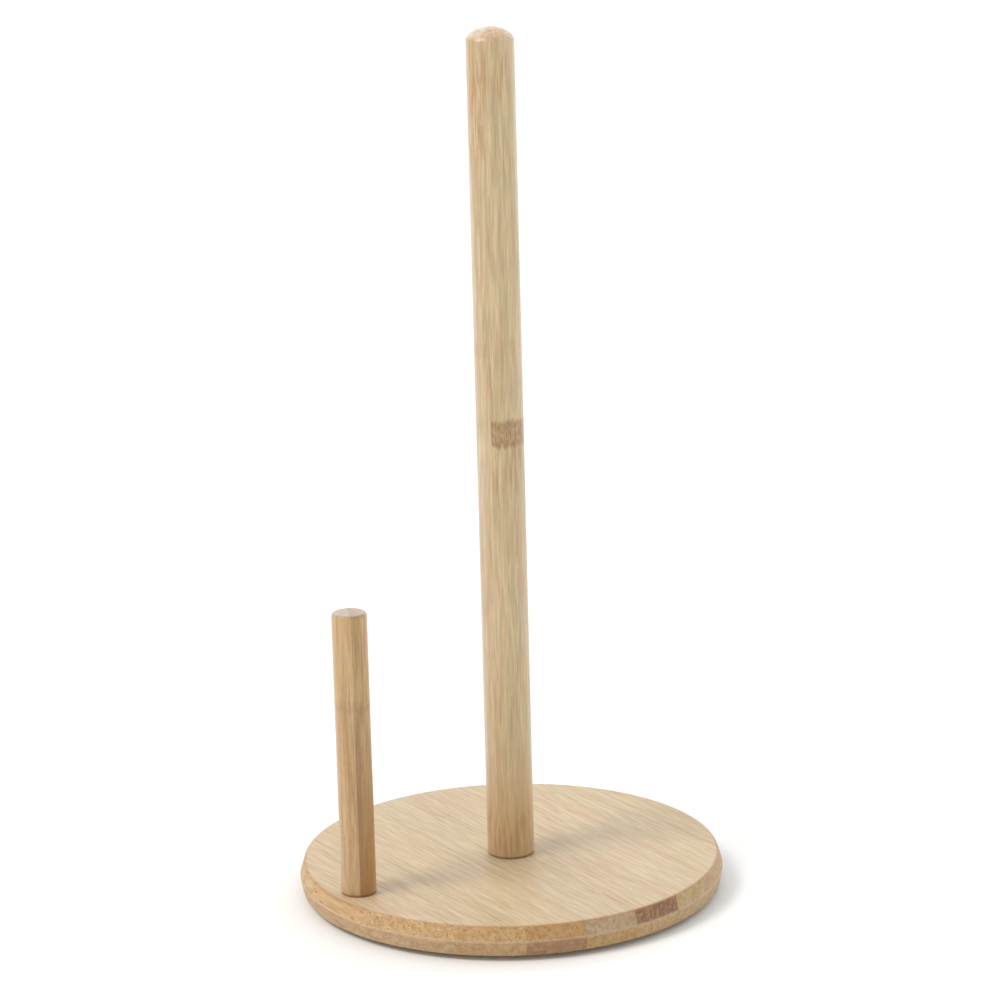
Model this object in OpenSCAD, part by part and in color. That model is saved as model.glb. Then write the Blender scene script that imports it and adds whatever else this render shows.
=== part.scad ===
// Paper towel holder: a round two-ply bamboo base, a tall centre post that the roll
// slides over, and a short post beside it that the sheet tears against.
// Both posts stand on the base and are screwed to it from beneath.
// Z is up and Z = 0 is the surface that the holder stands on. The centre post is on
// the Z axis and the tear post is out along -X.

/* [Base] */
// Diameter of the round base
base_d = 162; // [130:1:200]
// Thickness of each of the two plies
ply_t = 5.8; // [4:0.1:9]
// Width of the bamboo strips glued side by side in each ply
strip_w = 21; // [15:0.5:30]
// Distance from the middle of the base to the nearest glue joint between strips
joint_offset = 3; // [0:0.1:7.5]
// Turn of the strips about Z, away from a right angle to the line of the posts
grain_turn = -1.9; // [-45:0.1:45]
// Lean of the rim above the ply joint, inwards towards the top
rim_top_lean = 17; // [0:1:25]
// Lean of the rim below the ply joint, inwards towards the underside
rim_bottom_lean = 11; // [0:1:25]
// Rounding of the rim's upper edge
rim_top_r = 1.3; // [0.5:0.1:3]
// Rounding of the rim's lower edge
rim_bottom_r = 1.2; // [0.5:0.1:3]
// Small bevel on both plies where they meet at the rim
ply_bevel = 0.15; // [0.1:0.05:0.4]

/* [Centre post] */
// Diameter of the centre post
post_d = 17.8; // [12:0.1:28]
// Height of the centre post above the base, crown included
post_h = 318.8; // [220:0.1:400]
// Height of the domed crown
crown_h = 4.3; // [2:0.1:6]
// Where the crown starts on its ellipse: 0 runs smoothly out of the wall, more makes an edge
crown_edge = 20; // [5:1:60]
// Turn about Z of the glue joint between the post's two halves
post_joint_turn = 34; // [0:1:180]

/* [Tear post] */
// Diameter of the tear post
tear_d = 13.2; // [9:0.1:18]
// Height of the tear post above the base
tear_h = 109.5; // [70:0.5:180]
// Distance from the rim of the base to the tear post's axis
tear_inset = 11.5; // [10:0.5:30]
// Rounding round the tear post's flat top
tear_top_r = 1.3; // [0.2:0.1:3]
// Turn about Z of the glue joint between the post's two halves
tear_joint_turn = 63; // [0:1:180]

/* [Screws] */
// Thread diameter of the screw in the centre post
post_screw_d = 4.5; // [4:0.5:6]
// Length of the screw in the centre post
post_screw_l = 40; // [30:5:60]
// Thread diameter of the screw in the tear post
tear_screw_d = 4; // [3:0.5:5]
// Length of the screw in the tear post
tear_screw_l = 35; // [30:5:50]
// How far the heads sit inside the underside of the base
head_sink = 0.6; // [0.3:0.1:1]

/* [Feet] */
// Number of anti-slip pads under the base
feet = 4; // [3:1:6]
// Diameter of a pad
foot_d = 14; // [8:1:20]
// Thickness of a pad
foot_t = 2; // [1:0.1:3]
// Distance from the rim of the base to the middle of a pad
foot_inset = 17; // [12:1:30]

/* [Hidden] */
$fn = 96;
base_r = base_d / 2;
narrowest = 5;                // an outermost strip narrower than this is left as part of its neighbour
first_joint = ceil((narrowest - base_r - joint_offset) / strip_w);
last_joint = floor((base_r - narrowest - joint_offset) / strip_w);
strips = last_joint - first_joint + 2;
base_z = foot_t;              // underside of the base
joint_z = base_z + ply_t;     // where the two plies meet
top_z = joint_z + ply_t;      // top of the base
tear_x = -(base_r - tear_inset);
foot_ring_r = base_r - foot_inset;
foot_turn = 180 / feet;       // keeps the pads either side of the tear post's screw
round_steps = 6;              // facets of a rounded edge
crown_steps = 12;             // facets of the crown's outline
foot_bevel = 0.5;             // eased edge round the foot of each post
shank_room = 0.2;             // radial gap round a screw in the base
thread_room = 0.05;           // radial gap round a screw's thread in a post
pilot_room = 2;               // depth of a pilot hole past the screw's point
head_room = 0.1;              // radial gap round a screw's head
core_share = 0.68;            // core diameter of a wood screw over its thread diameter
pitch_share = 0.45;           // thread pitch over thread diameter
head_share = 1.9;             // head diameter over thread diameter
head_land = 0.35;             // straight edge of a screw's head
past = 1;                     // how far a cut runs past what it cuts

// Quarter circle of radius r about [x, y], from angle a, as points of an outline
function quarter(x, y, r, a) =
    [for (k = [0 : round_steps])
        let (b = a + 90 * k / round_steps)
        [x + r * cos(b), y + r * sin(b)]];

// Where the glue joint after strip i crosses the disc
function joint_x(i) = joint_offset + (first_joint + i - 1) * strip_w;

// Head of a wood screw: its radius and the height of its cone
function head_r(d) = head_share * d / 2;
function head_h(d) = head_land + head_r(d) - d / 2;

// One strip's share of a disc: the slab between its two glue joints, z0 to z1
module strip_slab(i, z0, z1) {
    left = i == 1 ? -base_r - past : joint_x(i - 1);
    right = i == strips ? base_r + past : joint_x(i);
    rotate([0, 0, grain_turn]) translate([left, -base_r - past, z0])
        cube([right - left, base_d + 2 * past, z1 - z0]);
}

// Hole for a screw up through the base, countersunk for its head
module screw_hole(x, d) {
    head_z = base_z + head_sink;
    translate([x, 0, base_z - past]) cylinder(h = top_z - base_z + 2 * past, d = d + 2 * shank_room);
    translate([x, 0, base_z - past]) cylinder(h = head_sink + head_land + past, r = head_r(d) + head_room);
    translate([x, 0, head_z + head_land])
        cylinder(h = head_r(d) - d / 2, r1 = head_r(d) + head_room, r2 = d / 2 + head_room);
}

module screw_holes() {
    screw_hole(0, post_screw_d);
    screw_hole(tear_x, tear_screw_d);
}

// Rim of one ply from the ply joint, drawn with the joint at height 0 and the ply above it:
// a small bevel, a wall that leans in, and a rounding that runs into the ply's outer face
function rim(lean, r) =
    let (mid_x = base_r - (r + (ply_t - r - ply_bevel) * sin(lean)) / cos(lean))
    concat(
        [[base_r - ply_bevel, 0], [base_r, ply_bevel]],
        [for (k = [0 : round_steps])
            let (a = lean + (90 - lean) * k / round_steps)
            [mid_x + r * cos(a), ply_t - r + r * sin(a)]]);

// One ply, from the ply joint at height 0 up to its outer face
module ply(lean, r) {
    rotate_extrude() polygon(concat([[0, 0]], rim(lean, r), [[0, ply_t]]));
}

module upper_ply() {
    translate([0, 0, joint_z]) ply(rim_top_lean, rim_top_r);
}

module lower_ply() {
    translate([0, 0, joint_z]) mirror([0, 0, 1]) ply(rim_bottom_lean, rim_bottom_r);
}

module upper_strip(i) {
    color(i % 2 == 0 ? "#DDBF95" : "#D6B486") difference() {
        intersection() {
            upper_ply();
            strip_slab(i, joint_z, top_z);
        }
        screw_holes();
    }
}

module lower_strip(i) {
    color(i % 2 == 0 ? "#CFA777" : "#D9B88A") difference() {
        intersection() {
            lower_ply();
            strip_slab(i, base_z, joint_z);
        }
        screw_holes();
    }
}

// Depth of the pilot hole that a screw of length l needs in a post
function pilot_h(l) = head_sink + l - 2 * ply_t + pilot_room;

// Half of a post on the Z axis, split through its axis, with half of its pilot hole.
// The outline's top runs from the wall to the axis.
module post_half(d, screw_d, screw_l, top) {
    bore_r = screw_d / 2 + thread_room;
    rotate_extrude(angle = 180) polygon(concat(
        [[bore_r, 0], [d / 2 - foot_bevel, 0], [d / 2, foot_bevel]],
        top,
        [[0, pilot_h(screw_l)], [bore_r, pilot_h(screw_l)]]));
}

// Outline of the crown: the top of an ellipse, cut off where it is as wide as the post
function crown_top() =
    let (half_w = post_d / 2 / cos(crown_edge), rise = crown_h / (1 - sin(crown_edge)))
    [for (k = [0 : crown_steps])
        let (a = crown_edge + (90 - crown_edge) * k / crown_steps)
        [k == crown_steps ? 0 : half_w * cos(a), post_h - rise + rise * sin(a)]];

module centre_post_half(turn) {
    translate([0, 0, top_z]) rotate([0, 0, turn])
        post_half(post_d, post_screw_d, post_screw_l, crown_top());
}

module centre_post_front_half() {
    color("#CBA97C") centre_post_half(post_joint_turn + 180);
}

module centre_post_back_half() {
    color("#D8B98D") centre_post_half(post_joint_turn);
}

module tear_post_half(turn) {
    top = concat(quarter(tear_d / 2 - tear_top_r, tear_h - tear_top_r, tear_top_r, 0), [[0, tear_h]]);
    translate([tear_x, 0, top_z]) rotate([0, 0, turn])
        post_half(tear_d, tear_screw_d, tear_screw_l, top);
}

module tear_post_inner_half() {
    color("#B98A56") tear_post_half(tear_joint_turn + 180);
}

module tear_post_outer_half() {
    color("#CFA779") tear_post_half(tear_joint_turn);
}

// Countersunk wood screw with a cross recess, head down, its point up the Z axis.
// The thread is drawn as rings a pitch apart.
module wood_screw(d, l) {
    core_r = core_share * d / 2;
    pitch = pitch_share * d;
    point_h = 1.5 * d;
    thread_z = head_h(d) + 2 * pitch;
    turns = floor((l - point_h - thread_z) / pitch);
    slot_w = 0.26 * d;
    slot_l = 1.15 * d;
    slot_h = 0.5 * d;
    difference() {
        rotate_extrude() polygon(concat(
            [[0, 0], [head_r(d), 0], [head_r(d), head_land], [d / 2, head_h(d)], [d / 2, thread_z - pitch / 2]],
            [for (k = [0 : turns - 1])
                let (z = thread_z + k * pitch)
                each [[core_r, z], [d / 2, z + pitch / 2]]],
            [[core_r, thread_z + turns * pitch], [core_r, l - point_h], [0, l]]));
        for (turn = [0, 90])
            rotate([0, 0, turn]) translate([-slot_l / 2, -slot_w / 2, -past])
                cube([slot_l, slot_w, slot_h + past]);
    }
}

module centre_post_screw() {
    color("#D9B65C") translate([0, 0, base_z + head_sink]) wood_screw(post_screw_d, post_screw_l);
}

module tear_post_screw() {
    color("#D9B65C") translate([tear_x, 0, base_z + head_sink]) wood_screw(tear_screw_d, tear_screw_l);
}

// Round pad stuck to the underside, with its lower edge eased
module foot_pad(i) {
    ease = foot_t / 4;
    color("#3A3734") rotate([0, 0, foot_turn + i * 360 / feet]) translate([foot_ring_r, 0, 0])
        rotate_extrude() polygon([
            [0, 0], [foot_d / 2 - ease, 0], [foot_d / 2, ease], [foot_d / 2, foot_t], [0, foot_t]]);
}

for (i = [1 : strips]) {
    upper_strip(i);
    lower_strip(i);
}
centre_post_front_half();
centre_post_back_half();
tear_post_inner_half();
tear_post_outer_half();
centre_post_screw();
tear_post_screw();
for (i = [1 : feet])
    foot_pad(i);
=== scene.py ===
"""Paper towel holder: the looks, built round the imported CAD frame.

Bamboo strips glued into a round two-ply base, two turned posts, the wood screws that hold them, and the pads
underneath. Lengths are metres, and millimetres where MM multiplies them.
"""
import functools
import math

import bmesh
import bpy
import numpy as np
from mathutils import Matrix, Vector


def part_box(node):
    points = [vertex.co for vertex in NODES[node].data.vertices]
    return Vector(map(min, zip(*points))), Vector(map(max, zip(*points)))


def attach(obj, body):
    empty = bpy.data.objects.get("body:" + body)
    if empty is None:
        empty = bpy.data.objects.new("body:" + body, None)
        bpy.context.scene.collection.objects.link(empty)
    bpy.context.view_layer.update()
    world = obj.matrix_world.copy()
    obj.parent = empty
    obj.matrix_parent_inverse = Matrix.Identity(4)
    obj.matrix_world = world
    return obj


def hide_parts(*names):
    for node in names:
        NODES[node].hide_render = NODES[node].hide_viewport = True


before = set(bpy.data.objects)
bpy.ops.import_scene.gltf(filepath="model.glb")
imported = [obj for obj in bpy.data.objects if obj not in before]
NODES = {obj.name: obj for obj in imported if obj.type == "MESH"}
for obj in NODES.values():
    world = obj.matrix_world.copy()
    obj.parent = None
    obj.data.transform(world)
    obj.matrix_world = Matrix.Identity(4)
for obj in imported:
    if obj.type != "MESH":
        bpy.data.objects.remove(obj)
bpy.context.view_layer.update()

MM = 0.001

# ---------------------------------------------------------------- sizes


def span(*nodes):
    """Lowest and highest corner of several CAD nodes together."""
    boxes = [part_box(n) for n in nodes]
    return np.min([b[0] for b in boxes], axis=0), np.max([b[1] for b in boxes], axis=0)


def numbered(start):
    """The CAD nodes whose names are start and a number, in order."""
    found = [n for n in NODES if n.startswith(start)]
    return sorted(found, key=lambda n: int(n[len(start):]))


UPPER = numbered("upper_strip_")
LOWER = numbered("lower_strip_")
FEET = numbered("foot_pad_")
CENTRE = ["centre_post_back_half", "centre_post_front_half"]
TEAR = ["tear_post_outer_half", "tear_post_inner_half"]

low, high = span(*UPPER, *LOWER)
BASE_R = high[1]
BASE_Z, TOP_Z = low[2], high[2]
JOINT_Z = span(*UPPER)[0][2]
STRIP_W = 21 * MM
JOINT_OFFSET = 3 * MM                                  # from the middle to the nearest glue joint
NARROWEST = 5 * MM                                     # a narrower outermost strip joins its neighbour
FIRST_JOINT = math.ceil((NARROWEST - BASE_R - JOINT_OFFSET) / STRIP_W)
GRAIN_TURN = math.radians(-1.9)                        # the strips' lie, off square to the posts' line
POST_TURN = math.radians(34)                           # glue joint of the centre post
TEAR_TURN = math.radians(63)                           # glue joint of the tear post
RIM_TOP = 1.3 * MM
RIM_BOTTOM = 1.2 * MM
TOP_LEAN = math.radians(17)                            # lean of the rim above the ply joint
BOTTOM_LEAN = math.radians(11)                         # and below it
PLY_BEVEL = 0.15 * MM
CROWN_H = 4.3 * MM
CROWN_EDGE = math.radians(20)                          # where the crown starts on its ellipse
FOOT_EASE = 0.5 * MM                                   # rounding round the foot of each post
TEAR_TOP_R = 1.3 * MM                                  # rounding round the tear post's flat top
ARRIS = 0.06 * MM                                      # edges of a strip, just broken by sanding
HEAD_SHARE = 1.9                                       # a screw head's diameter over its thread's
HEAD_LAND = 0.35 * MM                                  # straight edge of a screw's head
HEAD_EASE = 0.12 * MM                                  # eased edge of its face
HEAD_ROOM = 0.1 * MM                                   # gap round a screw's head
SHANK_ROOM = 0.2 * MM                                  # gap round a screw in the base
THREAD_ROOM = 0.05 * MM                                # gap round a screw's thread in a post
PILOT_ROOM = 2 * MM                                    # depth of a pilot hole past the screw's point
RECESS_TURN = 0.35                                     # how a screw's cross recess happens to stand

# ---------------------------------------------------------------- surfaces


def quarter(r, z, radius, start, steps=10):
    """A quarter circle of that radius about (r, z), from angle start in degrees, as rows of (r, z)."""
    a = np.radians(start + np.linspace(0, 90, steps + 1))
    return np.c_[r + radius * np.cos(a), z + radius * np.sin(a)]


def inset(outline, depth):
    """A closed anticlockwise outline moved inwards: each point goes along the bisector of its two edges, by
    depth measured square to them. Points on the axis stay on it."""
    edge = np.roll(outline, -1, 0) - outline
    normal = np.c_[-edge[:, 1], edge[:, 0]] / np.linalg.norm(edge, axis=1)[:, None]
    before = np.roll(normal, 1, 0)
    moved = outline + depth * (before + normal) / (1 + (before * normal).sum(1))[:, None]
    moved[outline[:, 0] < 1e-9, 0] = 0
    return moved


def sawn_strip(outline, left, right, columns=40, across=10):
    """A strip of a disc between the lines x = left and x = right. The disc's rim is the outline of (radius,
    height) rows, from the underside to the top. Column j of the surface crosses each rim circle at an angle
    that runs evenly from the left line to the right one, and a section there goes up one wall, straight over
    the top, down the other wall and back underneath. The two end columns are set in by the arris."""
    closed = np.vstack([[[0, outline[0, 1]]], outline, [[0, outline[-1, 1]]]])
    small = inset(closed, ARRIS)[1:-1]
    radius = outline[:, 0]
    open_left, open_right = left < -radius.max(), right > radius.max()
    first = np.arccos(np.clip((left if open_left else left + ARRIS) / radius, -1, 1))
    last = np.arccos(np.clip((right if open_right else right - ARRIS) / radius, -1, 1))
    angle = first + (last - first) * np.linspace(0, 1, columns)[:, None]
    x, y = radius * np.cos(angle), radius * np.sin(angle)
    z = np.broadcast_to(outline[:, 1], x.shape)

    def end(line):
        return np.full(len(small), line), np.sqrt(np.maximum(small[:, 0] ** 2 - line ** 2, 0)), small[:, 1]

    if not open_left:
        x, y, z = (np.vstack([e, v]) for e, v in zip(end(left), (x, y, z)))
    if not open_right:
        x, y, z = (np.vstack([v, e]) for e, v in zip(end(right), (x, y, z)))
    wall = np.stack([x, y, z], 2)
    back = (wall * (1, -1, 1))[:, ::-1]
    share = np.linspace(1, -1, across + 1)[1:-1]
    over = wall[:, -1:] * np.stack([np.ones_like(share), share, np.ones_like(share)], 1)
    under = wall[:, :1] * np.stack([np.ones_like(share), -share, np.ones_like(share)], 1)
    return np.concatenate([wall, over, back, under], 1)


def turned(outline, x=0.0, y=0.0, start=0.0, sweep=2 * math.pi, columns=64):
    """A closed outline of (radius, height) rows carried round a vertical axis at (x, y). A full turn closes
    on itself. A part turn ends in two flat faces, whose edges are set in by the arris."""
    radius, height = outline[:, 0], outline[:, 1]
    if sweep == 2 * math.pi:
        angle = np.linspace(0, sweep, columns, endpoint=False)[:, None] * np.ones_like(radius)
        r, z = np.broadcast_to(radius, angle.shape), np.broadcast_to(height, angle.shape)
    else:
        small = inset(outline, ARRIS)
        lean = np.arcsin(ARRIS / np.maximum(radius, 2 * ARRIS))
        angle = lean + (sweep - 2 * lean) * np.linspace(0, 1, columns)[:, None]
        angle = np.vstack([np.zeros_like(lean), angle, np.full_like(lean, sweep)])
        middle = np.ones((columns, 1))
        r = np.vstack([small[:, 0], middle * radius, small[:, 0]])
        z = np.vstack([small[:, 1], middle * height, small[:, 1]])
    angle = angle + start
    return np.stack([x + r * np.cos(angle), y + r * np.sin(angle), z], 2)


def solid(name, loops, wrap=False, turn=0.0, sharp=35):
    """A closed mesh through a stack of closed loops: quads between neighbouring loops and a flat face on
    each end, or none where the stack wraps round. Doubles are merged, which closes poles and seams, and
    faces are turned outwards."""
    count, size = loops.shape[:2]
    c, s = math.cos(turn), math.sin(turn)
    points = loops.reshape(-1, 3) @ np.array([[c, s, 0], [-s, c, 0], [0, 0, 1]])
    j = np.arange(count if wrap else count - 1)[:, None]
    k = np.arange(size)[None, :]
    here, there = j * size, (j + 1) % count * size
    after = (k + 1) % size
    quads = np.stack([here + k, here + after, there + after, there + k], 2).reshape(-1, 4)
    faces = quads.tolist()
    if not wrap:
        faces += [list(range(size)), list(range((count - 1) * size, count * size))]
    mesh = bpy.data.meshes.new(name)
    mesh.from_pydata(points.tolist(), [], faces)
    piece = bpy.data.objects.new(name, mesh)
    bpy.context.scene.collection.objects.link(piece)
    tidy(piece, sharp)
    return piece


def tidy(piece, sharp):
    """Merges doubles, turns faces outwards and shades smooth across edges blunter than the sharp angle."""
    work = bmesh.new()
    work.from_mesh(piece.data)
    bmesh.ops.remove_doubles(work, verts=work.verts, dist=2e-7)
    bmesh.ops.dissolve_degenerate(work, edges=work.edges, dist=1e-8)
    bmesh.ops.recalc_face_normals(work, faces=work.faces)
    work.to_mesh(piece.data)
    work.free()
    piece.data.shade_smooth()
    piece.data.set_sharp_from_angle(angle=math.radians(sharp))


def drill(piece, cutter, sharp=35):
    """Takes the cutter's solid out of a piece, and removes the cutter."""
    cut = piece.modifiers.new("hole", "BOOLEAN")
    cut.object, cut.operation, cut.solver = cutter, "DIFFERENCE", "EXACT"
    bpy.context.view_layer.update()
    result = bpy.data.meshes.new_from_object(piece.evaluated_get(bpy.context.evaluated_depsgraph_get()))
    piece.modifiers.remove(cut)
    piece.data = result
    bpy.data.objects.remove(cutter)
    tidy(piece, sharp)


# ---------------------------------------------------------------- materials

TIMES = {"operation": "MULTIPLY"}
SMOOTH = {"interpolation_type": "SMOOTHSTEP"}
RGBA = {"data_type": "RGBA"}


def linear(code):
    """An sRGB hex colour as linear RGBA."""
    part = [int(code[i:i + 2], 16) / 255 for i in (1, 3, 5)]
    return [c / 12.92 if c <= 0.04045 else ((c + 0.055) / 1.055) ** 2.4 for c in part] + [1.0]


def plug(socket, value):
    """Gives an input a value, or links it from a socket."""
    if isinstance(value, bpy.types.NodeSocket):
        socket.id_data.links.new(value, socket)
    else:
        socket.default_value = value


def add(tree, kind, *values, out=None, **settings):
    """Adds a shader node with its settings, plugs the values into its live inputs in their order, and gives
    one of its outputs, the first live one unless another is named."""
    made = tree.nodes.new("ShaderNode" + kind)
    for key, value in settings.items():
        setattr(made, key, value)
    for socket, value in zip([s for s in made.inputs if s.enabled], values):
        plug(socket, value)
    return made.outputs[out] if out else next(s for s in made.outputs if s.enabled)


def material(name):
    """A new material, a function that adds nodes to its tree, and its shader."""
    made = bpy.data.materials.new(name)
    made.use_nodes = True
    return made, functools.partial(add, made.node_tree), made.node_tree.nodes["Principled BSDF"]


def bamboo(name, face, ends, upright=False, turn=0.0, shift=(0, 0, 0), nodes=(), tints=(), skin=None,
           gloss=0.48, lacquer=0.0):
    """Laminated moso bamboo, sanded and lacquered satin. The pattern is worked out in the wood's own
    directions, across the grain, along it and through the strip, so that a long face shows the fibre bundles
    as fine streaks and a cut end shows them as short dashes. It gives the eye pale straw with faint brown
    fibres, rose and olive patches, and a warmer colour where the fibres are cut through."""
    pale, deep, fibre = face
    end_pale, end_deep, dashes = ends
    made, node, shader = material(name)
    where = node("TexCoord", out="Object")
    lie = (math.radians(-90), -turn, 0) if upright else (0, 0, -turn)
    wood = node("Mapping", where, shift, lie, (1000, 1000, 1000))
    facing_up = node("SeparateXYZ", node("TexCoord", out="Normal"), out="Z")
    level = node("Math", node("SeparateXYZ", where, out="Z"), 1000, **TIMES)

    def cloud(vector, across, along, detail=2.0, out=None):
        """Noise whose shapes measure that many millimetres across the grain and along it."""
        size = node("VectorMath", vector, (1 / across, 1 / along, 1 / across), **TIMES)
        return node("TexNoise", size, 1.0, detail, out=out)

    def rods(across, along, through):
        """Long cells of that many millimetres: the distance from a cell's middle, and its own number."""
        size = node("VectorMath", bent, (1 / across, 1 / along, 1 / through), **TIMES)
        nearest = node("TexVoronoi", size, 1.0)
        return nearest, node("SeparateColor", nearest.node.outputs["Color"])

    # fibres wander by up to a millimetre over some 60 mm
    wander = node("VectorMath", cloud(wood, 14, 60, 1.0, "Color"), (0.5, 0.5, 0.5), operation="SUBTRACT")
    bent = node("VectorMath", wander, (1.6, 0, 1.6), wood, operation="MULTIPLY_ADD")

    # vascular bundles, 0.6 mm apart, seen for some 20 mm along a face
    near, own = rods(0.6, 24, 1.1)
    strength = node("MapRange", own, 0.1, 0.9, 0.2, 1.0)
    bundle = node("Math", node("MapRange", near, 0.46, 0.14, **SMOOTH), strength, **TIMES)

    # darker single streaks, 1.1 mm apart
    near, own = rods(1.1, 34, 1.1)
    strength = node("MapRange", own, 0.35, 0.9, **SMOOTH)
    streak = node("Math", node("MapRange", near, 0.34, 0.05, **SMOOTH), strength, **TIMES)

    # a post's fibres are cut through where it faces up, and a strip's all round the rim
    steep = node("Math", facing_up, operation="ABSOLUTE")
    cut = node("MapRange", steep, *((0.25, 0.85) if upright else (0.93, 0.65)), **SMOOTH)

    broad = node("MapRange", cloud(bent, 1.9, 50, 3.0), 0.30, 0.70, **SMOOTH)
    along = node("Mix", broad, linear(pale), linear(deep), **RGBA)
    across = node("Mix", broad, linear(end_pale), linear(end_deep), **RGBA)
    colour = node("Mix", cut, along, across, **RGBA)
    patch = cloud(bent, 2.0, 14 if upright else 30, 1.0)
    for low, high, tone in ((0.54, 0.70, "#CD9474"), (0.44, 0.30, "#B9A870")):
        share = node("MapRange", patch, low, high, 0.0, 0.25 if upright else 0.30, **SMOOTH)
        colour = node("Mix", share, colour, linear(tone), **RGBA)

    depth = node("MapRange", cut, 0.0, 1.0, 0.30, dashes)
    colour = node("Mix", node("Math", bundle, depth, **TIMES), colour, linear(fibre), **RGBA)
    colour = node("Mix", node("Math", streak, 0.30, **TIMES), colour, linear(fibre), **RGBA)
    fine = cloud(bent, 0.45, 12, 3.0)
    shade = node("MapRange", fine, 0.30, 0.70, 0.87, 1.13, **SMOOTH)
    grey = node("CombineColor", shade, shade, shade)
    colour = node("Mix", 1.0, colour, grey, blend_type="MULTIPLY", **RGBA)

    # a strip's edge: the rounding over the rim soaks up more lacquer than the flat face, and at the ply
    # joint a painted highlight, a paler line where the edges of the plies catch the light
    if not upright:
        round_over = node("MapRange", facing_up, 0.35, 0.70, 0.0, 0.36, **SMOOTH)
        short_of_flat = node("MapRange", facing_up, 0.995, 0.95, **SMOOTH)
        soaked = node("Math", round_over, short_of_flat, **TIMES)
        colour = node("Mix", soaked, colour, linear("#A9702F"), **RGBA)
        from_joint = node("Math", level, JOINT_Z / MM, operation="SUBTRACT")
        off = node("Math", from_joint, operation="ABSOLUTE")
        # painted highlight: paler within 0.6 mm of the ply joint, on the rim only
        painted_joint_highlight = node("MapRange", off, 0.6, 0.2, 0.0, 0.28, **SMOOTH)
        colour = node("Mix", node("Math", painted_joint_highlight, cut, **TIMES), colour, linear("#E8D6BC"), **RGBA)

    # tints: a length of the post that is another colour, either all over or only in some threads; at a
    # post's foot some of them are painted shade and painted bounce light
    thread = node("MapRange", cloud(bent, 0.9, 12), 0.45, 0.62, **SMOOTH)
    for middle, half, tone, strength, threads in tints:
        off = node("Math", node("Math", level, middle, operation="SUBTRACT"), operation="ABSOLUTE")
        share = node("MapRange", off, half, half * 0.4, 0.0, strength, **SMOOTH)
        if threads:
            share = node("Math", share, thread, **TIMES)
        colour = node("Mix", share, colour, linear(tone), **RGBA)

    # nodes of the culm: a browner band where the fibres tangle, darker in flecks and along its two edges
    for middle, half, strength in nodes:
        ragged = node("MapRange", cloud(wood, 1.2, 12, 2.0), 0.3, 0.7, middle - 0.8, middle + 0.8)
        off = node("Math", node("Math", level, ragged, operation="SUBTRACT"), operation="ABSOLUTE")
        band = node("MapRange", off, half + 1.2, half - 1.2, 0.0, strength, **SMOOTH)
        edge = node("MapRange", off, half - 3.0, half - 0.8, 0.0, 0.10, **SMOOTH)
        fleck = node("MapRange", cloud(wood, 0.55, 2.4), 0.40, 0.64, 0.36, 0.78, **SMOOTH)
        share = node("Math", band, node("Math", edge, fleck, operation="ADD"), **TIMES)
        colour = node("Mix", share, colour, linear("#905F2A"), **RGBA)

    # the skin side of a split culm, at the glue joint, is darker than the wood away from it
    if skin:
        tone, depth, strength, x, y = skin
        square = (-math.sin(turn), math.cos(turn), 0)
        from_axis = node("VectorMath", where, (x, y, 0), operation="SUBTRACT")
        side = node("VectorMath", from_axis, square, operation="DOT_PRODUCT")
        off = node("Math", side, operation="ABSOLUTE")
        share = node("MapRange", off, depth * MM, 0.0, 0.0, strength, **SMOOTH)
        colour = node("Mix", share, colour, linear(tone), **RGBA)

    plug(shader.inputs["Base Color"], colour)
    plug(shader.inputs["Roughness"], node("MapRange", bundle, 0.0, 1.0, gloss, gloss + 0.10))
    plug(shader.inputs["IOR"], 1.5)
    plug(shader.inputs["Coat Weight"], lacquer)
    plug(shader.inputs["Coat Roughness"], 0.34)
    relief = node("Math", bundle, -0.6, node("Math", fine, 0.5, **TIMES), operation="MULTIPLY_ADD")
    plug(shader.inputs["Normal"], node("Bump", 0.3, 0.05 * MM, 0.1, relief))
    return made


def plated_steel():
    """Steel wood screw, zinc plated and passivated yellow: a warm metal with olive clouds of 2 to 3 mm."""
    made, node, shader = material("yellow_zinc_plated_steel")
    cloud = node("TexNoise", node("TexCoord", out="Object"), 420.0, 3.0)
    plug(shader.inputs["Base Color"], node("Mix", cloud, linear("#D8B66A"), linear("#B59A62"), **RGBA))
    plug(shader.inputs["Metallic"], 1.0)
    plug(shader.inputs["Roughness"], node("MapRange", cloud, 0.0, 1.0, 0.24, 0.42))
    return made


def pad_rubber():
    """Moulded anti-slip rubber: a matt charcoal with a grain of about 0.3 mm."""
    made, node, shader = material("moulded_rubber")
    grain = node("TexNoise", node("TexCoord", out="Object"), 3500.0, 2.0)
    plug(shader.inputs["Base Color"], node("Mix", grain, linear("#26241F"), linear("#3A3732"), **RGBA))
    plug(shader.inputs["Roughness"], 0.82)
    plug(shader.inputs["Normal"], node("Bump", 0.4, 0.05 * MM, 0.1, grain))
    return made


# ---------------------------------------------------------------- pieces


def place(piece, stands_for, finish):
    """Gives a piece its finish, hangs it on the root body and hides the CAD node that it stands for."""
    piece.data.materials.clear()
    piece.data.materials.append(finish)
    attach(piece, "root")
    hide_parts(stands_for)
    return piece


def joint_x(i):
    """Where the glue joint after strip i crosses the disc."""
    return JOINT_OFFSET + (FIRST_JOINT + i - 1) * STRIP_W


def rim(ply_t, lean, r):
    """The rim of one ply, from the ply joint at height 0 to the ply's outer face: a small bevel, a wall that
    leans in, and an arc that touches both the wall and the face."""
    middle = BASE_R - (r + (ply_t - r - PLY_BEVEL) * math.sin(lean)) / math.cos(lean)
    a = np.linspace(lean, math.pi / 2, 9)
    arc = np.c_[middle + r * np.cos(a), ply_t - r + r * np.sin(a)]
    return np.vstack([[[BASE_R - PLY_BEVEL, 0], [BASE_R, PLY_BEVEL]], arc])


UPPER_RIM = rim(TOP_Z - JOINT_Z, TOP_LEAN, RIM_TOP) + (0, JOINT_Z)
LOWER_RIM = (0, JOINT_Z) + rim(JOINT_Z - BASE_Z, BOTTOM_LEAN, RIM_BOTTOM)[::-1] * (1, -1)

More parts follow.
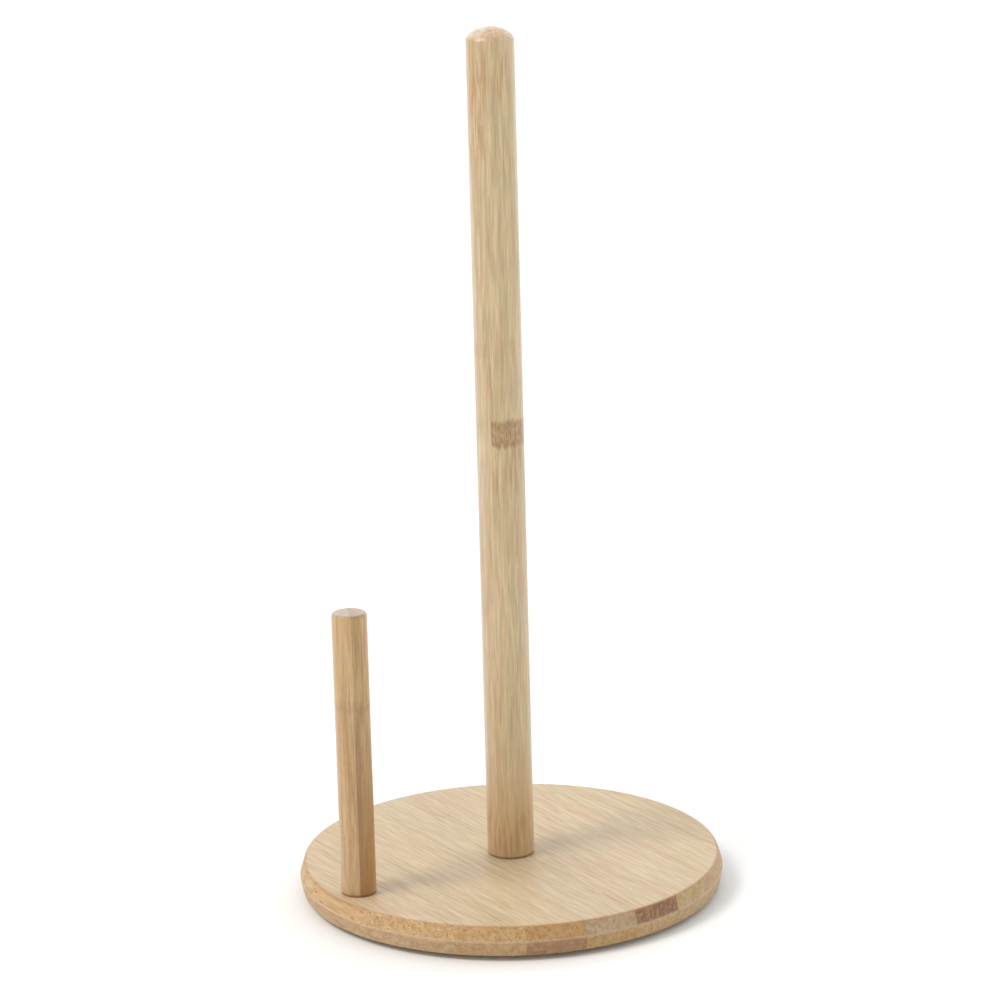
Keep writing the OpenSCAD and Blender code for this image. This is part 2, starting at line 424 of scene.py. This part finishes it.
# tone of each strip: pale, deep and fibre colours, then its ends' pale and deep colours, and how much the
# fibres show there
UPPER_TONES = [
    (("#CDB798", "#C3AA86", "#9B683C"), ("#CCAA7C", "#B89262", 0.90)),
    (("#CAB494", "#BFA782", "#966435"), ("#C6A270", "#B28C5C", 0.90)),
    (("#CCB797", "#C3AB88", "#99673C"), ("#BD9562", "#A97F4E", 0.90)),
    (("#C9B596", "#C0AA89", "#946742"), ("#B59C7E", "#A38765", 0.30)),
    (("#CAB496", "#C1A988", "#92623E"), ("#92694B", "#815A3E", 0.25)),
    (("#CDB89A", "#C4AD8B", "#9A6A3E"), ("#BEA174", "#AC8B5E", 0.50)),
    (("#CBB697", "#C1AB88", "#98683C"), ("#BC9C71", "#A9865B", 0.50)),
    (("#C9B392", "#BEA680", "#966537"), ("#BB996B", "#A88357", 0.50))]
LOWER_TONES = [
    (("#CBB596", "#C1A884", "#976536"), ("#C0A47E", "#AE8E68", 0.50)),
    (("#CCB697", "#C1A986", "#976536"), ("#BA9B71", "#A8865B", 0.55)),
    (("#C9B294", "#BEA685", "#92623A"), ("#A37D5C", "#926C4C", 0.35)),
    (("#CBB697", "#C2AB88", "#976536"), ("#BA9966", "#A88450", 0.55)),
    (("#CDB798", "#C3AB88", "#99673C"), ("#BDA074", "#AB8A5E", 0.50)),
    (("#CAB596", "#C1A985", "#97663A"), ("#BBA077", "#A98B62", 0.45)),
    (("#CBB596", "#C1A985", "#97663A"), ("#B99D78", "#A68863", 0.45)),
    (("#CBB596", "#C1A985", "#97663A"), ("#BB9E78", "#A88A64", 0.45))]


def screw_room(screw):
    """The countersunk hole for a screw, from below the base to above it, and its reach across the base."""
    low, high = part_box(screw)
    x, y, r = (low[0] + high[0]) / 2, (low[1] + high[1]) / 2, (high[0] - low[0]) / 2
    shank = r / HEAD_SHARE
    bore, mouth = shank + SHANK_ROOM, r + HEAD_ROOM
    land = low[2] + HEAD_LAND
    neck = land + r - shank
    outline = np.array([[0, BASE_Z - MM], [mouth, BASE_Z - MM], [mouth, land], [shank + HEAD_ROOM, neck],
                        [bore, neck], [bore, TOP_Z + MM], [0, TOP_Z + MM]])
    return solid("screw_room", turned(outline, x, y, columns=56), wrap=True), x - mouth, x + mouth


def make_strips():
    """The strips of both plies, drilled where a screw passes through them."""
    plies = (UPPER, UPPER_RIM, UPPER_TONES), (LOWER, LOWER_RIM, LOWER_TONES)
    for ply, (names, outline, tones) in enumerate(plies):
        for i, name in enumerate(names, 1):
            left = -2 * BASE_R if i == 1 else joint_x(i - 1)
            right = 2 * BASE_R if i == len(names) else joint_x(i)
            piece = solid(name + "_sawn", sawn_strip(outline, left, right), turn=GRAIN_TURN)
            for screw in ("centre_post_screw", "tear_post_screw"):
                room, near, far = screw_room(screw)
                if near < right and far > left:
                    drill(piece, room)
                else:
                    bpy.data.objects.remove(room)
            face, ends = tones[(i - 1) % len(tones)]
            shift = (17.3 * i, 41.7 * i + 23 * ply, 9.1 * i)       # no two strips share their fibres
            finish = bamboo(name + "_bamboo", face, ends, turn=GRAIN_TURN, shift=shift)
            place(piece, name, finish)


def crown(radius, z_top):
    """The top of an ellipse, cut off where it is as wide as the post, from the post's wall to its axis."""
    half_w, rise = radius / math.cos(CROWN_EDGE), CROWN_H / (1 - math.sin(CROWN_EDGE))
    a = np.linspace(CROWN_EDGE, math.pi / 2, 28)
    rows = np.c_[half_w * np.cos(a), z_top - rise + rise * np.sin(a)]
    rows[-1, 0] = 0
    crease = rows[0]
    t = np.linspace(0, 1, 5)[:, None]
    eased = (1 - t) ** 2 * (crease - (0, 0.25 * MM)) + 2 * t * (1 - t) * crease + t ** 2 * rows[1]
    return np.vstack([eased, rows[2:]])


def flat_top(radius, z_top):
    """A flat top with its edge rounded over, from the post's wall to its axis."""
    return np.vstack([quarter(radius - TEAR_TOP_R, z_top - TEAR_TOP_R, TEAR_TOP_R, 0),
                      [[radius / 2, z_top], [0, z_top]]])


def make_post(names, top, joint_turn, screw, looks):
    """Two half rounds glued into a post, bored for the screw, its foot eased."""
    low, high = span(*names)
    x, y = (low[:2] + high[:2]) / 2
    radius = (high[0] - low[0]) / 2
    screw_low, screw_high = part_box(screw)
    bore_r = (screw_high[0] - screw_low[0]) / 2 / HEAD_SHARE + THREAD_ROOM
    bore_z = screw_high[2] + PILOT_ROOM
    foot = quarter(radius - FOOT_EASE, TOP_Z + FOOT_EASE, FOOT_EASE, -90, 6)
    rows = top(radius, high[2])
    wall = np.linspace(foot[-1, 1], rows[0, 1], 26)[1:-1]
    outline = np.vstack([[[bore_r, TOP_Z]], foot, np.c_[np.full(len(wall), radius), wall], rows,
                         [[0, bore_z], [bore_r, bore_z]]])
    for k, (name, look) in enumerate(zip(names, looks)):
        piece = solid(name + "_turned", turned(outline, x, y, joint_turn + k * math.pi, math.pi, 48))
        skin = (*look["skin"], x, y) if "skin" in look else None
        finish = bamboo(name + "_bamboo", **{**look, "skin": skin}, upright=True, turn=joint_turn,
                        gloss=0.36, lacquer=0.6)
        place(piece, name, finish)


def make_screw(name):
    """Countersunk wood screw. The wall is a function of height and angle: core radius plus a V ridge whose
    place follows height over pitch less angle over a full turn, so that it winds up the shank as a helix."""
    low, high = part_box(name)
    x, y = (low[0] + high[0]) / 2, (low[1] + high[1]) / 2
    head_r = (high[0] - low[0]) / 2
    d = 2 * head_r / HEAD_SHARE
    length = high[2] - low[2]
    head_h = HEAD_LAND + head_r - d / 2
    pitch, core, point = 0.45 * d, 0.34 * d, 1.5 * d
    thread_z = head_h + 2 * pitch
    rows = np.linspace(head_h, length, 420)[1:]
    head = [[0, 0], [head_r / 2, 0], [head_r - HEAD_EASE, 0], [head_r, HEAD_EASE], [head_r, HEAD_LAND],
            [d / 2, head_h]]
    outline = np.vstack([head, np.c_[np.full(len(rows), d / 2), rows]])
    angle = np.linspace(0, 2 * math.pi, 48, endpoint=False)[:, None]
    height = outline[:, 1][None, :]
    threaded = np.clip((height - thread_z) / pitch, 0, 1)
    ridge = 1 - np.abs(((height / pitch - angle / (2 * math.pi)) % 1) - 0.5) * 2
    ridge = np.clip(ridge * 1.8 - 0.8, 0, 1)
    taper = np.clip((length - height) / point, 0, 1)
    shank = (d / 2 - threaded * (d / 2 - core) * (1 - ridge)) * taper
    r = np.where(height > head_h, shank, outline[:, 0])
    loops = np.stack([x + r * np.cos(angle), y + r * np.sin(angle), low[2] + height + 0 * angle], 2)
    piece = solid(name + "_threaded", loops, wrap=True, sharp=50)
    # the cross recess: two slots that narrow inwards, in thread diameters
    half_l, half_w, start = 0.58, 0.13, -0.4
    mouth = np.array([[-half_l, -half_w, start], [half_l, -half_w, start], [half_l, half_w, start],
                      [-half_l, half_w, start]])
    for turn in (RECESS_TURN, RECESS_TURN + math.pi / 2):
        c, s = math.cos(turn), math.sin(turn)
        wing = np.stack([mouth, mouth * (0.45, 0.7, 1) + (0, 0, 0.95)]) * d
        wing = wing @ np.array([[c, s, 0], [-s, c, 0], [0, 0, 1]]) + (x, y, low[2])
        drill(piece, solid("recess", wing), 50)
    return piece


def make_foot(name):
    """Round rubber pad: eased edge, three shallow rings in its underside."""
    low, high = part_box(name)
    x, y = (low[0] + high[0]) / 2, (low[1] + high[1]) / 2
    r, z0, z1 = (high[0] - low[0]) / 2, low[2], high[2]
    ease = (z1 - z0) / 4
    under = np.linspace(0, r - ease, 80)
    deep, half_waves = 0.25 * MM, 7
    wave = np.cos(under / (r - ease) * half_waves * math.pi)
    groove = deep * np.clip(wave * 2 - 0.6, 0, 1) * (under > 0.1 * r)
    outline = np.vstack([np.c_[under, z0 + groove], quarter(r - ease, z0 + ease, ease, -90, 5)[1:],
                         quarter(r - ease / 2, z1 - ease / 2, ease / 2, 0, 3), [[0, z1]]])
    return solid(name + "_moulded", turned(outline, x, y, columns=72), wrap=True)


# a tint: middle and half length in millimetres above the floor, colour, strength, and whether it keeps to
# threads. A node of the culm, or a mottled length of it: middle, half length and strength. A skin: colour,
# depth in millimetres and strength
PAINTED_FOOT_SHADE = (13.9, 0.9, "#6E3E20", 0.6, False)          # painted shade where a post meets the base
# painted light and shade: the centre post warmer and darker towards its foot, for light bounced up off the
# base and for the shade there
CENTRE_FOOT_PAINTED_LIGHT = ((24, 12, "#9A4A2C", 0.4, True), (14, 50, "#CC9E66", 0.27, False), PAINTED_FOOT_SHADE)
CENTRE_LOOKS = (
    {"face": ("#CFB896", "#BFA379", "#93693A"), "ends": ("#DDCAB4", "#CCAE8E", 0.25), "shift": (5, 60, 3),
     "nodes": ((212.5, 2.5, 0.2),),
     "tints": ((303, 30, "#A8793A", 0.5, True), (312, 22, "#C08038", 0.4, True), *CENTRE_FOOT_PAINTED_LIGHT)},
    {"face": ("#CFB890", "#BDA377", "#8A663E"), "ends": ("#D3BAA0", "#C29C72", 0.25), "shift": (31, 12, 47),
     "nodes": ((181.1, 4.9, 1.0),),
     "tints": ((168, 14, "#A0672E", 0.35, True), (315, 14, "#B0703C", 0.35, True), *CENTRE_FOOT_PAINTED_LIGHT)})
TEAR_LOOKS = (
    {"face": ("#CCAA7C", "#B9935F", "#7E542C"), "ends": ("#B89F83", "#A78C6D", 0.2), "shift": (12, 83, 9),
     "nodes": ((88.5, 2.0, 0.3), (44, 44, 0.32)), "tints": ((40, 40, "#9A6A3C", 0.2, True), PAINTED_FOOT_SHADE)},
    {"face": ("#CCAA76", "#B7915A", "#6E4826"), "ends": ("#B39676", "#A28363", 0.2), "shift": (57, 27, 21),
     "nodes": ((88.5, 2.0, 0.2), (44, 44, 0.36)), "skin": ("#7A5A2C", 4.0, 0.38),
     "tints": ((80, 50, "#7E5A2E", 0.25, True), (14, 70, "#A06420", 0.5, False), PAINTED_FOOT_SHADE)})

make_strips()
make_post(CENTRE, crown, POST_TURN, "centre_post_screw", CENTRE_LOOKS)
make_post(TEAR, flat_top, TEAR_TURN, "tear_post_screw", TEAR_LOOKS)
steel, rubber = plated_steel(), pad_rubber()
for screw in ("centre_post_screw", "tear_post_screw"):
    place(make_screw(screw), screw, steel)
for foot in FEET:
    place(make_foot(foot), foot, rubber)

# ---------------------------------------------------------------- camera, floor and light

AZIMUTH, ELEVATION, ROLL = math.radians(-34.35), math.radians(15.45), math.radians(-1.51)
DISTANCE = 1.6
KEY_AZIMUTH, KEY_ELEVATION = math.radians(-100), math.radians(51)
TENT_TURN = 0.4                                        # the tent's bright side, right of straight behind
target = Vector((-0.58 * MM, 0.40 * MM, 153.57 * MM))


def toward(azimuth, elevation):
    """Unit vector from the object to a place at that azimuth and elevation."""
    level = math.cos(elevation)
    return Vector((math.sin(azimuth) * level, -math.cos(azimuth) * level, math.sin(elevation)))


lens = bpy.data.cameras.new("camera")
camera = bpy.data.objects.new("camera", lens)
bpy.context.scene.collection.objects.link(camera)
lens.lens, lens.sensor_width = 153.6, 36
lens.clip_start, lens.clip_end = 0.1, 60
back = toward(AZIMUTH, ELEVATION)
camera.location = target + back * DISTANCE
camera.rotation_mode = "QUATERNION"
rolled = Matrix.Rotation(ROLL, 3, "Z").to_quaternion()
camera.rotation_quaternion = (-back).to_track_quat("-Z", "Y") @ rolled
bpy.context.scene.camera = camera

floor_mesh = bpy.data.meshes.new("floor")
half = 14.0                                            # half the floor's width, so that it ends out of sight
corners = [(-half, -half, 0), (half, -half, 0), (half, half, 0), (-half, half, 0)]
floor_mesh.from_pydata(corners, [], [(0, 1, 2, 3)])
floor = bpy.data.objects.new("floor", floor_mesh)
bpy.context.scene.collection.objects.link(floor)
paper, _, paper_shader = material("white_card")
plug(paper_shader.inputs["Base Color"], (0.93, 0.93, 0.93, 1))
plug(paper_shader.inputs["Roughness"], 1.0)
plug(paper_shader.inputs["Specular IOR Level"], 0.0)
floor_mesh.materials.append(paper)

# a white tent, brighter behind the object, and a warmer key from the side of the tear post
world = bpy.data.worlds.new("white_tent")
bpy.context.scene.world = world
world.use_nodes = True
node = functools.partial(add, world.node_tree)
way = node("TexCoord", out="Generated")
behind = node("VectorMath", way, toward(AZIMUTH + math.pi - TENT_TURN, 0), operation="DOT_PRODUCT")
tent = world.node_tree.nodes["Background"]
plug(tent.inputs["Color"], (0.97, 0.995, 1.0, 1))
plug(tent.inputs["Strength"], node("MapRange", behind, -0.4, 0.9, 0.64, 1.38))

key_light = bpy.data.lights.new("key", "SUN")
key_light.energy, key_light.angle = 1.37, math.radians(23)
key_light.color = (1.0, 0.95, 0.88)
key = bpy.data.objects.new("key", key_light)
key.rotation_mode = "QUATERNION"
key.rotation_quaternion = (-toward(KEY_AZIMUTH, KEY_ELEVATION)).to_track_quat("-Z", "Y")
bpy.context.scene.collection.objects.link(key)
bpy.context.scene.view_settings.view_transform = "Standard"
